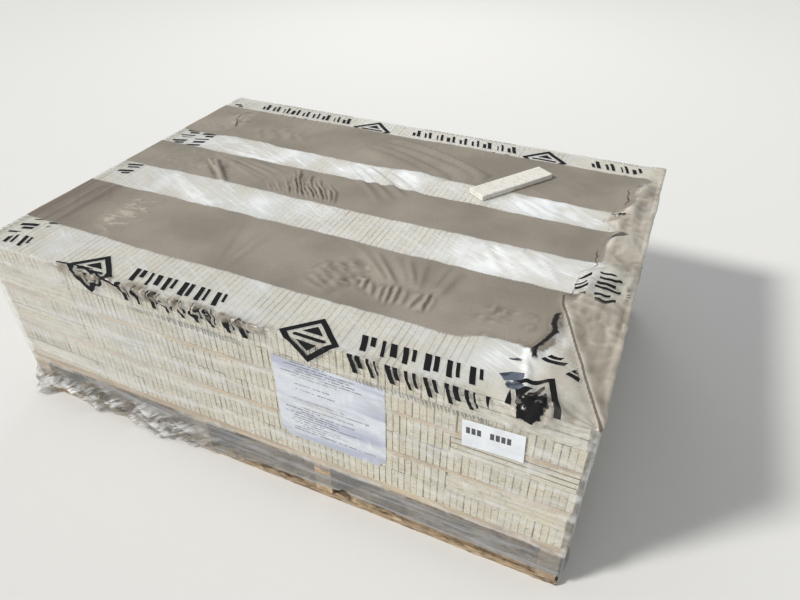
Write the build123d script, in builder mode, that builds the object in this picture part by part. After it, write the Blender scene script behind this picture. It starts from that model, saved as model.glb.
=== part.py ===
"""A pallet of long thin bricks: three lifts of two courses, slip sheets between the
lifts, a wooden pallet below and a film hood over the whole load.

Millimetres. +X runs along the load, +Y across it, away from the side with the papers, +Z is up.
The origin is on the floor, under the middle of the load.
"""

import os

from build123d import *

os.makedirs("parts", exist_ok=True)

# Bricks
brick_length = 272.0
brick_height = 64.0         # the narrow side, upright in the stack
brick_thickness = 16.0
joint_gap = 0.3             # between two bricks on edge
joint_notch = 1.6           # side of the square notch that eased edges leave at a joint

# Stack
bricks_on_edge = 81         # bricks of one row, side by side along X
rows = 4                    # rows of bricks across the load
row_gap = 26.7
block_gap = 4.0             # between the row's last brick and the turned bricks at the end
course_shifts = (-2.0, -2.0, 2.0, 3.0, 0.0, 0.0)    # how far each course lies along X
courses_per_lift = 2
sheet_thickness = 5.0
sheet_margin = 1.0          # how far a slip sheet stays inside the stack's edge

# Pallet
board_thickness = 22.0
board_width = 140.0
deck_boards = 7
bottom_boards = 3
stringer_width = 48.0
stringer_height = 106.0
end_overhang = 10.0         # of the boards past the stack, along X
side_overhang = 1.0         # of the pallet past the stack, along Y
stringer_inset = 6.0        # from the boards' ends to the outer stringers
inner_stringer_spacing = 384.0

# Film hood
film_thickness = 1.5
film_clearance = 0.5        # from the boards' ends and sides
film_top_clearance = 0.3
film_corner_radius = 3.0
film_edge_radius = 2.0
hem_height = 46.0

# Papers on the side
paper_thickness = 0.3
paper_clearance = 0.3
document_width = 284.0
document_height = 262.0
document_inset = (566.0, 203.0)     # from the stack's end and its top to the sheet's middle
label_width = 132.0
label_height = 76.0
label_inset = (182.0, 113.0)
label_tilt = 3.0

# Loose brick on top
loose_brick_inset = (405.0, 300.0)  # from the stack's end and its far side to the brick's middle
loose_brick_angle = 56.0

# Sizes that follow
brick_pitch = brick_thickness + joint_gap
run_length = bricks_on_edge * brick_pitch - joint_gap
stack_length = brick_length + block_gap + run_length
stack_width = rows * brick_length + (rows - 1) * row_gap
row_pitch = brick_length + row_gap
courses = len(course_shifts)
lifts = courses // courses_per_lift
lift_height = courses_per_lift * brick_height + sheet_thickness
layers_in_block = round(brick_height / brick_thickness)

pallet_length = stack_length + 2 * end_overhang
pallet_width = stack_width + 2 * side_overhang
deck_bottom = board_thickness + stringer_height
deck_top = deck_bottom + board_thickness
stack_top = deck_top + courses * brick_height + (lifts - 1) * sheet_thickness

hood_length = pallet_length + 2 * (film_clearance + film_thickness)
hood_width = pallet_width + 2 * (film_clearance + film_thickness)
hood_top = stack_top + film_top_clearance + film_thickness

document_centre = (stack_length / 2 - document_inset[0], stack_top - document_inset[1])
label_centre = (stack_length / 2 - label_inset[0], stack_top - label_inset[1])
loose_brick_centre = (stack_length / 2 - loose_brick_inset[0], stack_width / 2 - loose_brick_inset[1])


def course_base(index):
    """The height of a course's underside, counted from 0 at the deck."""
    lift = index // courses_per_lift
    return deck_top + lift * lift_height + (index - lift * courses_per_lift) * brick_height


# Brick courses. The turned bricks close the left end and the right end by turns.
def brick_course(index):
    base = course_base(index)
    block_side = -1 if index % 2 == 0 else 1
    shift = course_shifts[index]
    run_middle = shift - block_side * (stack_length - run_length) / 2
    block_middle = shift + block_side * (stack_length - brick_length) / 2
    block_end = block_middle + block_side * brick_length / 2

    with BuildPart() as course:
        # Four rows of bricks on edge, with a notch at each joint that shows
        with BuildSketch(Plane.XY.offset(base)):
            with Locations((run_middle, 0)):
                with GridLocations(0, row_pitch, 1, rows):
                    Rectangle(run_length, brick_length)
                with GridLocations(brick_pitch, stack_width, bricks_on_edge - 1, 2):
                    Rectangle(joint_notch, joint_notch, rotation=45, mode=Mode.SUBTRACT)
        extrude(amount=brick_height)

        # The bricks at the end lie flat, along the load
        with BuildSketch(Plane.XY.offset(base)):
            with Locations((block_middle, 0)):
                Rectangle(brick_length, stack_width)
        extrude(amount=brick_height)
        for layer in range(1, layers_in_block):
            seam = base + layer * brick_height / layers_in_block
            with Locations((block_middle, -stack_width / 2, seam), (block_middle, stack_width / 2, seam)):
                Box(brick_length, joint_notch, joint_notch, rotation=(45, 0, 0), mode=Mode.SUBTRACT)
            with Locations((block_end, 0, seam)):
                Box(joint_notch, stack_width, joint_notch, rotation=(0, 45, 0), mode=Mode.SUBTRACT)
    return course


for index in range(courses):
    course = brick_course(index)
    course.part.label = f"brick_course_{index + 1}"
    export_step(course.part, f"parts/brick_course_{index + 1}.step")


# Slip sheets between the lifts
for lift in range(1, lifts):
    with BuildPart() as slip_sheet:
        with BuildSketch(Plane.XY.offset(deck_top + lift * lift_height - sheet_thickness)):
            Rectangle(stack_length - 2 * sheet_margin, stack_width - 2 * sheet_margin)
        extrude(amount=sheet_thickness)
    slip_sheet.part.label = f"slip_sheet_{lift}"
    export_step(slip_sheet.part, f"parts/slip_sheet_{lift}.step")


# Pallet stringers, which run across the load
outer_stringer = pallet_length / 2 - stringer_inset - stringer_width / 2
inner_stringer = inner_stringer_spacing / 2
stringer_places = (-outer_stringer, -inner_stringer, inner_stringer, outer_stringer)
for number, place in enumerate(stringer_places, start=1):
    with BuildPart() as stringer:
        with BuildSketch(Plane.XY.offset(board_thickness)):
            with Locations((place, 0)):
                Rectangle(stringer_width, pallet_width)
        extrude(amount=stringer_height)
    stringer.part.label = f"stringer_{number}"
    export_step(stringer.part, f"parts/stringer_{number}.step")


# Pallet boards, which run along the load
def pallet_boards(name, count, base):
    board_pitch = (pallet_width - board_width) / (count - 1)
    for number in range(count):
        place = -(pallet_width - board_width) / 2 + number * board_pitch
        with BuildPart() as board:
            with BuildSketch(Plane.XY.offset(base)):
                with Locations((0, place)):
                    Rectangle(pallet_length, board_width)
            extrude(amount=board_thickness)
        board.part.label = f"{name}_{number + 1}"
        export_step(board.part, f"parts/{name}_{number + 1}.step")


pallet_boards("deck_board", deck_boards, deck_bottom)
pallet_boards("bottom_board", bottom_boards, 0)


# Film hood, open at its foot
with BuildPart() as film_hood:
    with BuildSketch(Plane.XY.offset(hem_height)):
        RectangleRounded(hood_length, hood_width, film_corner_radius)
    extrude(amount=hood_top - hem_height)
    fillet(film_hood.faces().sort_by(Axis.Z)[-1].edges(), film_edge_radius)
    offset(amount=-film_thickness, openings=film_hood.faces().sort_by(Axis.Z)[0])
film_hood.part.label = "film_hood"
export_step(film_hood.part, "parts/film_hood.step")


# Papers: the document lies under the film, the label is stuck on it
document_face = -stack_width / 2 - paper_clearance
with BuildPart() as document_sheet:
    with BuildSketch(Plane.XZ.offset(-document_face)):
        with Locations(document_centre):
            Rectangle(document_width, document_height)
    extrude(amount=paper_thickness)
document_sheet.part.label = "document_sheet"
export_step(document_sheet.part, "parts/document_sheet.step")

with BuildPart() as pallet_label:
    with BuildSketch(Plane.XZ.offset(hood_width / 2)):
        with Locations(label_centre):
            Rectangle(label_width, label_height, rotation=label_tilt)
    extrude(amount=paper_thickness)
pallet_label.part.label = "pallet_label"
export_step(pallet_label.part, "parts/pallet_label.step")


# Loose brick, laid flat on the film
with BuildPart() as loose_brick:
    with BuildSketch(Plane.XY.offset(hood_top)):
        with Locations(loose_brick_centre):
            Rectangle(brick_length, brick_height, rotation=loose_brick_angle)
    extrude(amount=brick_thickness)
loose_brick.part.label = "loose_brick"
export_step(loose_brick.part, "parts/loose_brick.step")
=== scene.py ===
import math
from functools import partialmethod
from itertools import product

import bpy
import numpy as np
from mathutils import Matrix, Vector


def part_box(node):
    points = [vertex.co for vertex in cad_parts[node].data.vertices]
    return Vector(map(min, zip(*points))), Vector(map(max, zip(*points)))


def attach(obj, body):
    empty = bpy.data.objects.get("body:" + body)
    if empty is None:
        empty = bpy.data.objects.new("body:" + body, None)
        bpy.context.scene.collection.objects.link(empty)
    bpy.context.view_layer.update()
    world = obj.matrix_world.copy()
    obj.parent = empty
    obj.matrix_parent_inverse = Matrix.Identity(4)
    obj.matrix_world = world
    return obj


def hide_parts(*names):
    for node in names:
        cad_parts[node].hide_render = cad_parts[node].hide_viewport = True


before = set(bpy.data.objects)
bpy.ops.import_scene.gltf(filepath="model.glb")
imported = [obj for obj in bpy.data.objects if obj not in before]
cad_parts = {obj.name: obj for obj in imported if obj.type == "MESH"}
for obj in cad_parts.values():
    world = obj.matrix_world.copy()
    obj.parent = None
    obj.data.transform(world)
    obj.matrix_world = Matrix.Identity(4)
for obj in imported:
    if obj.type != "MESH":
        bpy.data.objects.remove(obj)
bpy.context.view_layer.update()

# The load's box, from the film hood
HOOD_LOW, HOOD_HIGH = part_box("film_hood")
LENGTH = HOOD_HIGH.x - HOOD_LOW.x
WIDTH = HOOD_HIGH.y - HOOD_LOW.y
TOP = HOOD_HIGH.z

# A brick and how bricks lie
BRICK = np.array([0.272, 0.064, 0.016])
BRICK_LENGTH, BRICK_HEIGHT, BRICK_THICKNESS = BRICK
BRICK_BEVEL = 0.0012
BRICK_PITCH = 0.0163
JOINT_GAP = 0.0003
OPEN_JOINT_SHARE = 0.13
ROWS = 4
BRICKS_ON_EDGE = 81
BLOCK_COLUMNS = 18
BLOCK_LAYERS = 4
COURSES = 6
LOOSE_BRICK_TURN = math.radians(56)

# Joints that stand open, as shares of the load's length, course by course from the deck up
OPEN_JOINTS = (
    (0.265, 0.275, 0.295, 0.36, 0.44, 0.53, 0.6, 0.66, 0.79, 0.81, 0.85, 0.95),
    (0.04, 0.06, 0.113, 0.137, 0.17, 0.197, 0.26, 0.35, 0.44, 0.52, 0.63, 0.7, 0.7985, 0.808, 0.818),
    (0.18, 0.19, 0.21, 0.265, 0.3, 0.36, 0.395, 0.41, 0.5, 0.58, 0.782, 0.7925, 0.8425, 0.884, 0.915, 0.9355),
    (0.04, 0.098, 0.225, 0.285, 0.345, 0.395, 0.437, 0.505, 0.545, 0.62, 0.7385, 0.7875, 0.8065, 0.817),
    (0.27, 0.353, 0.395, 0.415, 0.51, 0.52, 0.545, 0.7355, 0.7665, 0.797, 0.828, 0.9315, 0.943),
    (0.055, 0.085, 0.105, 0.12, 0.165, 0.21, 0.33, 0.45, 0.51, 0.57, 0.66, 0.72, 0.78),
)

# The photograph's camera
CAMERA_PLACE = (0.7857, -1.4298, 1.4314)
CAMERA_RIGHT = (0.91392, 0.40588, -0.00082)
CAMERA_DOWN = (0.24624, -0.55608, -0.79381)
CAMERA_LENS = 28.36


def linear(red, green, blue):
    """A colour given as screen values from 0 to 255, for a shader's socket."""
    tones = (((c / 255 + 0.055) / 1.055) ** 2.4 if c > 10 else c / 3294.6 for c in (red, green, blue))
    return (*tones, 1.0)


# Numbers that vary over a plane
def smooth(low, high, x):
    t = np.clip((x - low) / (high - low), 0, 1)
    return t * t * (3 - 2 * t)


def band(x, low, low_end, high, high_end):
    """Grows from 0 to 1 over the first two places and falls back to 0 over the last two."""
    return smooth(low, low_end, x) * (1 - smooth(high, high_end, x))


def bell(away, width):
    return np.exp(-(away / width) ** 2)


def noise(x, y, size, seed):
    """Smooth noise from -1 to 1 over a plane, with lumps of about that size."""
    angle = np.random.RandomState(seed).uniform(0, 2 * math.pi, (128, 128))
    u, v = x / size, y / size
    i, j = np.floor(u).astype(int), np.floor(v).astype(int)
    fu, fv = u - i, v - j
    su, sv = (f * f * f * (f * (f * 6 - 15) + 10) for f in (fu, fv))

    def corner(di, dj):
        a = angle[(i + di) % 128, (j + dj) % 128]
        return np.cos(a) * (fu - di) + np.sin(a) * (fv - dj)

    low = corner(0, 0) * (1 - su) + corner(1, 0) * su
    high = corner(0, 1) * (1 - su) + corner(1, 1) * su
    return 1.5 * (low * (1 - sv) + high * sv)


def rough_noise(x, y, size, seed, octaves=3):
    return sum(noise(x, y, size / 2 ** k, seed + k) / 2 ** k for k in range(octaves))


def ridges(x, y, size, seed):
    """Sharp ridges between smooth hollows, from 0 to 1."""
    return np.clip(1 - 2.2 * np.abs(noise(x, y, size, seed)), 0, 1) ** 2


def crumple(x, y, size, seed, count=5):
    """Creased facets, from 0 to 1: zigzag waves in several directions, each a little bent."""
    random = np.random.RandomState(seed)
    total = 0
    for k in range(count):
        angle = math.pi * (k + random.uniform(-0.35, 0.35)) / count
        bend = 0.45 * size * noise(x, y, 1.9 * size, seed + 100 + k)
        stretch = size * random.uniform(0.8, 1.5)
        t = (x * math.cos(angle) + y * math.sin(angle) + bend) / stretch + random.uniform(0, 1)
        total = total + np.abs((t % 1) * 2 - 1) * (0.6 + 0.4 * noise(x, y, 1.3 * size, seed + 200 + k))
    return np.clip(total / count * 1.6 - 0.25, 0, 1)


# Meshes and pieces
def put(name, data):
    """An object in the scene for a mesh, a lamp or a camera."""
    thing = bpy.data.objects.new(name, data)
    bpy.context.scene.collection.objects.link(thing)
    return thing


def piece_from(name, points, faces, material, smooth_faces=False):
    mesh = bpy.data.meshes.new(name)
    mesh.from_pydata([tuple(p) for p in points], [], [tuple(f) for f in faces])
    mesh.materials.append(material)
    mesh.polygons.foreach_set("use_smooth", [smooth_faces] * len(mesh.polygons))
    mesh.update()
    return put(name, mesh)


def point_values(piece, name, values, domain="POINT"):
    """Gives each vertex (or face) of a piece a number that its material reads."""
    attribute = piece.data.attributes.new(name, "FLOAT", domain)
    attribute.data.foreach_set("value", np.asarray(values, np.float32))


def keep(piece, node):
    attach(piece, "root")
    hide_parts(node)


def centre_of(box):
    low, high = box
    return np.array([(a + b) / 2 for a, b in zip(low, high)])


def sheet_faces(ids):
    """Quads over a grid of points."""
    return np.stack([ids[:-1, :-1], ids[1:, :-1], ids[1:, 1:], ids[:-1, 1:]], -1).reshape(-1, 4)


def ring_faces(ids):
    """Quads over a grid of points whose every row closes into a ring."""
    after = np.roll(ids, -1, axis=1)
    return np.stack([ids[:-1], ids[1:], after[1:], after[:-1]], -1).reshape(-1, 4)


def swept(points):
    """Points and faces of a section swept along, closed at both ends."""
    ids = np.arange(points.shape[0] * points.shape[1]).reshape(points.shape[:2])
    return points.reshape(-1, 3), ring_faces(ids).tolist() + [ids[0].tolist(), ids[-1][::-1].tolist()]


# Materials
class Value:
    """What a node gives. Sums with it add the nodes that work them out, and a | b is the larger one."""

    def __init__(self, nodes, socket):
        self.nodes, self.socket = nodes, socket

    def maths(self, operation, *others):
        return self.nodes.maths(operation, self, *others)

    def __rsub__(self, other):
        return self.nodes.maths("SUBTRACT", other, self)

    __add__ = partialmethod(maths, "ADD")
    __sub__ = partialmethod(maths, "SUBTRACT")
    __mul__ = partialmethod(maths, "MULTIPLY")
    __truediv__ = partialmethod(maths, "DIVIDE")
    __abs__ = partialmethod(maths, "ABSOLUTE")
    __lt__ = partialmethod(maths, "LESS_THAN")
    __gt__ = partialmethod(maths, "GREATER_THAN")
    __or__ = partialmethod(maths, "MAXIMUM")
    whole = partialmethod(maths, "FLOOR")
    part = partialmethod(maths, "FRACT")

    def within(self, low, high):
        """1 from low to high, else 0."""
        return abs(self - (low + high) / 2) < (high - low) / 2


class Nodes:
    """A material's node tree, built a node at a time. Colours are screen values from 0 to 255."""

    def __init__(self, name):
        self.material = bpy.data.materials.new(name)
        self.material.use_nodes = True
        self.tree = self.material.node_tree
        self.shader = self.tree.nodes["Principled BSDF"]
        self.place = self.node("TexCoord", output="Object")

    def feed(self, socket, value):
        if isinstance(value, Value):
            self.tree.links.new(value.socket, socket)
        else:
            socket.default_value = linear(*value) if socket.type == "RGBA" else value

    def node(self, kind, inputs=(), output=0, **settings):
        node = self.tree.nodes.new("ShaderNode" + kind)
        for name, value in settings.items():
            setattr(node, name, value)
        for key, value in dict(inputs).items():
            self.feed(node.inputs[key], value)
        return Value(self, node.outputs[output])

    def maths(self, operation, *values, clamp=False):
        return self.node("Math", enumerate(values), operation=operation, use_clamp=clamp)

    def ramp(self, value, low, high, to_low=0.0, to_high=1.0):
        ends = enumerate((value, low, high, to_low, to_high))
        return self.node("MapRange", ends, interpolation_type="SMOOTHSTEP")

    def mix(self, share, a, b):
        return self.node("Mix", {0: share, 6: a, 7: b}, 2, data_type="RGBA")

    def mix_number(self, share, a, b):
        return self.node("Mix", {0: share, 2: a, 3: b}, data_type="FLOAT")

    def layers(self, colour, *rows):
        """Mixes more colours over one, each by a share of its own."""
        for share, other in rows:
            colour = self.mix(share, colour, other)
        return colour

    def stretched(self, *scale):
        return self.node("Mapping", {"Vector": self.place, "Scale": scale})

    def slanted(self, turns, scale=(1, 1, 1), middle=(0, 0, 0)):
        """Places turned about a middle and then stretched."""
        shrunk = [1 / number for number in scale]
        inputs = {"Vector": self.place, "Location": middle, "Rotation": turns, "Scale": shrunk}
        return self.node("Mapping", inputs, vector_type="TEXTURE")

    def noise(self, scale, detail=3.0, where=None, distortion=0.0, roughness=0.5):
        inputs = {"Vector": where or self.place, "Scale": scale, "Detail": detail, "Distortion": distortion,
                  "Roughness": roughness}
        return self.node("TexNoise", inputs, "Fac")

    def cells(self, scale):
        return self.node("TexVoronoi", {"Vector": self.place, "Scale": scale}, "Distance")

    def attribute(self, name):
        return self.node("Attribute", output="Fac", attribute_name=name)

    def split(self, value, kind):
        """The three numbers of a colour ("Color") or a place ("XYZ")."""
        first = self.node("Separate" + kind, {0: value})
        return [Value(self, socket) for socket in first.socket.node.outputs]

    def chances(self, number):
        """Three random numbers for each whole number."""
        return self.split(self.node("TexWhiteNoise", {"W": number}, "Color", noise_dimensions="1D"), "Color")

    def bump(self, height, distance, strength=1.0, below=None):
        inputs = {"Strength": strength, "Distance": distance, "Height": height}
        if below is not None:
            inputs["Normal"] = below
        return self.node("Bump", inputs)

    def finish(self, colour, roughness, normal=None, alpha=None):
        given = {"Base Color": colour, "Roughness": roughness, "Normal": normal, "Alpha": alpha}
        for name, value in given.items():
            if value is not None:
                self.feed(self.shader.inputs[name], value)
        return self.material


def brick_material(name, bleached=0.0):
    """Cream clay with a sanded face, paler where it is bleached."""
    n = Nodes(name)
    grain = n.noise(420, 4)
    pits = n.ramp(n.cells(260), 0.1, 0.28)
    strata = n.noise(1.0, 4, n.stretched(14, 14, 150), distortion=0.8)
    chips = n.ramp(n.noise(75, 4, distortion=0.5), 0.56, 0.7)
    colour = n.layers(
        n.mix(n.attribute("tone") * 0.55, (229, 224, 206), (200, 191, 165)),
        (n.ramp(n.noise(14, 3), 0.45, 0.75, 0.0, 0.5), (226, 221, 205)),
        (n.ramp(grain, 0.35, 0.7, 0.35, 0.0), (176, 160, 130)), ((1.0 - pits) * 0.35, (150, 134, 104)),
        (chips * 0.45, (172, 160, 130)), (n.ramp(strata, 0.5, 0.68, 0.0, 0.3), (176, 164, 134)),
        # Painted shade in the joints: the eased edges are darkened, most beside the open ones
        (n.attribute("joint"), (80, 73, 60)), (bleached, (250, 249, 244)),
    )
    normal = n.bump(grain, 0.0006, 0.7)
    for height, distance, strength in ((pits, 0.0008, 0.6), (strata, 0.004, 0.8), (chips, 0.0015, 0.8)):
        normal = n.bump(height, distance, strength, normal)
    return n.finish(colour, 0.9, normal)


def wood_material(name, pale, dark, along, torn=0.0):
    """Rough sawn softwood, with the grain along X or Y."""
    n = Nodes(name)
    scale = (1.6, 26, 40) if along == "X" else (26, 1.6, 40)
    saw = (240, 5, 5) if along == "X" else (5, 240, 5)
    rings = n.noise(1.0, 6, n.stretched(*scale), distortion=1.2, roughness=0.6)
    fibres = n.noise(1.0, 3, n.stretched(*(6 * s for s in scale)))
    marks = n.noise(1.0, 2, n.stretched(*saw))
    colour = n.layers(
        n.mix(n.ramp(rings, 0.35, 0.65), pale, dark), (n.ramp(fibres, 0.4, 0.75, 0.0, 0.45), (120, 88, 58)),
        (n.ramp(n.noise(7, 4), 0.5, 0.75, 0.0, 0.5), (120, 108, 92)),
    )
    if torn:
        # Torn boards: darker streaks painted as the shade in the gaps between splinters, and paler streaks
        shreds = n.noise(1.0, 5, n.stretched(24, 70, 140), distortion=0.8)
        colour = n.layers(
            colour, (n.ramp(shreds, 0.5, 0.62, 0.0, torn), (82, 68, 54)),
            (n.ramp(shreds, 0.32, 0.44, torn, 0.0), (224, 204, 172)),
        )
    return n.finish(colour, 0.85, n.bump(fibres + marks * 0.6, 0.0012, 0.8))


def card_material():
    n = Nodes("slip_sheet")
    flutes = n.noise(1.0, 2, n.stretched(30, 30, 900))
    colour = n.mix(n.ramp(n.noise(9, 4), 0.4, 0.7), (208, 190, 163), (186, 166, 138))
    colour = n.mix(n.ramp(flutes, 0.45, 0.6, 0.0, 0.35), colour, (132, 104, 76))
    return n.finish(colour, 0.9, n.bump(flutes, 0.0006, 0.6))


# Bricks: eased boxes, many in one mesh
CORNERS = list(product((-1, 1), repeat=3))


def box_faces():
    """Faces of a box with eased edges: 6 sides, 12 edges and 8 corners. Each axis has 8 points of its own."""
    def point(owner, axis, along, p, q):
        return 8 * owner + CORNERS.index(tuple(np.insert([p, q], axis, along)))

    faces = []
    for axis, side in product(range(3), (-1, 1)):
        ring = [point(axis, axis, side, p, q) for p, q in ((-1, -1), (1, -1), (1, 1), (-1, 1))]
        faces.append((ring, (side > 0) != (axis == 1)))
    for axis, p, q in product(range(3), (-1, 1), (-1, 1)):
        a, b = [k for k in range(3) if k != axis]
        quad = [point(owner, axis, end, p, q) for owner, end in ((a, -1), (a, 1), (b, 1), (b, -1))]
        faces.append((quad, (p * q > 0) != (axis == 1)))
    faces += [([k, 8 + k, 16 + k], math.prod(signs) > 0) for k, signs in enumerate(CORNERS)]
    return [face if outward else face[::-1] for face, outward in faces]


def eased_boxes(centres, halves, bevel):
    """Points and faces of boxes with eased edges, and the box that each point is of."""
    signs = np.tile(np.array(CORNERS, float), (3, 1))
    inset = 1 - np.repeat(np.eye(3), 8, axis=0)
    points = centres[:, None, :] + signs * (halves[:, None, :] - bevel * inset)
    count = len(signs)
    template = box_faces()
    faces = [[k * count + v for v in face] for k in range(len(centres)) for face in template]
    return points.reshape(-1, 3), faces, np.repeat(np.arange(len(centres)), count)


def run_places(index, low_x, high_x, random):
    """Middles along X of a course's bricks on edge. The slack between them lies in the open joints."""
    slack = (high_x - low_x) - BRICKS_ON_EDGE * BRICK_THICKNESS
    gaps = np.full(BRICKS_ON_EDGE - 1, 0.00006)
    pitch = (high_x - low_x) / BRICKS_ON_EDGE
    for share in OPEN_JOINTS[index]:
        joint = int(round((share * LENGTH - LENGTH / 2 - low_x) / pitch)) - 1
        if 0 <= joint < len(gaps):
            gaps[joint] = random.uniform(0.0012, 0.0024)
    gaps *= slack / gaps.sum()
    starts = low_x + np.concatenate([[0], np.cumsum(gaps + BRICK_THICKNESS)])
    return starts + BRICK_THICKNESS / 2


def brick_course(index, material):
    low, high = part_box(f"brick_course_{index + 1}")
    random = np.random.RandomState(40 + index)
    block_left = index % 2 == 0
    run_length = BRICKS_ON_EDGE * BRICK_PITCH - JOINT_GAP
    run_low = high.x - run_length if block_left else low.x
    places = run_places(index, run_low, run_low + run_length, random)
    block_x = low.x + BRICK_LENGTH / 2 if block_left else high.x - BRICK_LENGTH / 2
    row_pitch = ((high.y - low.y) - BRICK_LENGTH) / (ROWS - 1)
    middle_z = (low.z + high.z) / 2
    half = np.array([BRICK_THICKNESS, BRICK_LENGTH, BRICK_HEIGHT]) / 2 - 0.00002
    centres, halves = [], []
    for row in range(ROWS):
        y = low.y + BRICK_LENGTH / 2 + row * row_pitch
        if index == COURSES - 1 or row in (0, ROWS - 1):
            outward = -1 if row == 0 else 1 if row == ROWS - 1 else 0
            for x in places:
                push = random.uniform(-0.0012, 0.0004)
                drop = random.uniform(0, 0.0007)
                centres.append((x, y + outward * push, middle_z - drop / 2))
                halves.append(half - (0, 0, drop / 2))
        else:
            centres.append(((places[0] + places[-1]) / 2, y, middle_z))
            reach = (places[-1] - places[0] + BRICK_THICKNESS) / 2
            halves.append((reach, BRICK_LENGTH / 2, BRICK_HEIGHT / 2))
    column_pitch = ((high.y - low.y) - BRICK_HEIGHT) / (BLOCK_COLUMNS - 1)
    for layer, column in product(range(BLOCK_LAYERS), range(BLOCK_COLUMNS)):
        push = random.uniform(-0.0045, 0.001) * (-1 if block_left else 1)
        y = low.y + BRICK_HEIGHT / 2 + column * column_pitch
        if column in (0, BLOCK_COLUMNS - 1):
            y += random.uniform(-0.0006, 0.0022) * (1 if column == 0 else -1)
        centres.append((block_x + push, y, low.z + (layer + 0.5) * BRICK_THICKNESS))
        halves.append(BRICK / 2 - (0, 0, 0.0001))
    points, faces, owner = eased_boxes(np.array(centres), np.array(halves), BRICK_BEVEL)
    points = points + random.uniform(-0.00022, 0.00022, points.shape)
    piece = piece_from(f"course_{index + 1}_bricks", points, faces, material)
    point_values(piece, "tone", random.uniform(0, 1, len(centres))[owner])
    # Painted shade in the joints: eased edges darkened fully for about one brick in eight, faintly elsewhere
    is_open = random.uniform(0, 1, len(centres)) < OPEN_JOINT_SHARE
    joints = np.where(is_open | np.roll(is_open, 1), 1.0, 0.3)
    on_bevel = np.arange(len(faces) // len(centres)) >= 6
    point_values(piece, "joint", np.outer(joints, on_bevel).ravel(), "FACE")
    keep(piece, f"brick_course_{index + 1}")


def loose_brick():
    """One more brick, off its stack and laid askew on the film: paler, with eased and nicked edges."""
    centre = centre_of(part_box("loose_brick"))
    half = BRICK / 2
    points, faces, _ = eased_boxes(np.zeros((1, 3)), half[None], 0.0016)
    cosine, sine = math.cos(LOOSE_BRICK_TURN), math.sin(LOOSE_BRICK_TURN)
    points = centre + points @ np.array([[cosine, sine, 0], [-sine, cosine, 0], [0, 0, 1]])
    piece = piece_from("brick_on_top", points, faces, brick_material("loose_brick", 0.6))
    cut = piece.modifiers.new("cut", "SUBSURF")
    cut.subdivision_type = "SIMPLE"
    cut.levels = cut.render_levels = 5
    bpy.context.view_layer.objects.active = piece
    bpy.ops.object.modifier_apply(modifier="cut")
    places = np.empty(len(piece.data.vertices) * 3)
    piece.data.vertices.foreach_get("co", places)
    places = places.reshape(-1, 3)
    rel = places - centre
    along = rel[:, 0] * cosine + rel[:, 1] * sine
    across = -rel[:, 0] * sine + rel[:, 1] * cosine
    reaches = ((half[1], across), (half[0], along))
    rim = sum(smooth(reach - 0.005, reach, np.abs(away)) for reach, away in reaches)
    nick = np.clip(rough_noise(along, across + 0.2 * rel[:, 2], 0.016, 15), 0, 1) * np.clip(rim, 0, 1)
    tall = rel * (1, 1, 4)
    places -= tall * (0.0012 * nick / np.maximum(np.linalg.norm(tall, axis=1), 1e-6))[:, None]
    piece.data.vertices.foreach_set("co", places.ravel())
    point_values(piece, "tone", 0.1 + 0.2 * nick)
    keep(piece, "loose_brick")


def build_bricks():
    material = brick_material("brick")
    for index in range(COURSES):
        brick_course(index, material)
    loose_brick()


# Pallet and slip sheets
PLANK_STEPS = 180
SHEET_STEPS = 600
SPLINTER = 0.0016


def plank(name, node, along, material, seed, worn=1.0):
    """A rough sawn board or stringer in a node's place: a rounded section with splintered edges."""
    low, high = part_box(node)
    centre = centre_of((low, high))
    across = 1 - along
    half_width, half_height = (high[across] - low[across]) / 2, (high.z - low.z) / 2
    random = np.random.RandomState(seed)
    section = []
    for sx, sy in ((1, 1), (-1, 1), (-1, -1), (1, -1)):
        ease = random.uniform(0.001, 0.0025)
        corner = [(sx * (half_width - ease), sy * half_height), (sx * half_width, sy * (half_height - ease))]
        if sx == sy:
            section += corner[::-1] + [(0, sy * half_height)]
        else:
            section += corner + [(sx * half_width, 0)]
    section = np.array(section)
    lengthwise = np.linspace(low[along], high[along], PLANK_STEPS + 1)
    s, k = np.meshgrid(lengthwise, np.arange(len(section)), indexing="ij")
    at_corner = np.where(section.all(axis=1), 1.0, 0.3)[k]
    chip = np.clip(rough_noise(s, 0.31 * k, 0.045, seed + 5) - 0.35, 0, 1) * at_corner
    shave = SPLINTER * worn * (0.25 * (1 + noise(s, 0.23 * k, 0.014, seed)) + 1.6 * chip)
    cross = section[k] * (1 - shave[..., None] / (half_width, half_height))
    points = np.empty(s.shape + (3,))
    points[..., along] = s
    points[..., across] = centre[across] + cross[..., 0]
    points[..., 2] = centre[2] + cross[..., 1]
    points, faces = swept(points)
    if along == 1:
        faces = [face[::-1] for face in faces]
    keep(piece_from(name, points, faces, material), node)


def torn_sheet(name, node, material, seed):
    """A slip sheet. Its front edge hangs over the bricks in torn strips, but for behind the document."""
    low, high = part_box(node)
    x = np.linspace(low.x, high.x, SHEET_STEPS + 1)
    free = 1 - band(x / LENGTH + 0.5, 0.545, 0.552, 0.736, 0.743)
    torn = np.clip(0.35 + 0.9 * rough_noise(x, 0 * x + 0.07, 0.17, seed, 2), 0, 1)
    lip = (0.0012 + 0.009 * torn + 0.003 * torn * rough_noise(x, 0 * x, 0.012, seed + 9)) * free
    front = low.y - 0.0022 * free
    section = (
        (high.y, high.z), (front, high.z), (front - 0.0002, low.z - lip), (front + 0.0004, low.z - lip),
        (low.y + 0.0008, low.z), (high.y, low.z),
    )
    points = np.stack([np.stack([x, 0 * x + y, 0 * x + z], -1) for y, z in section], 1)
    keep(piece_from(name, *swept(points), material), node)


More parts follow.
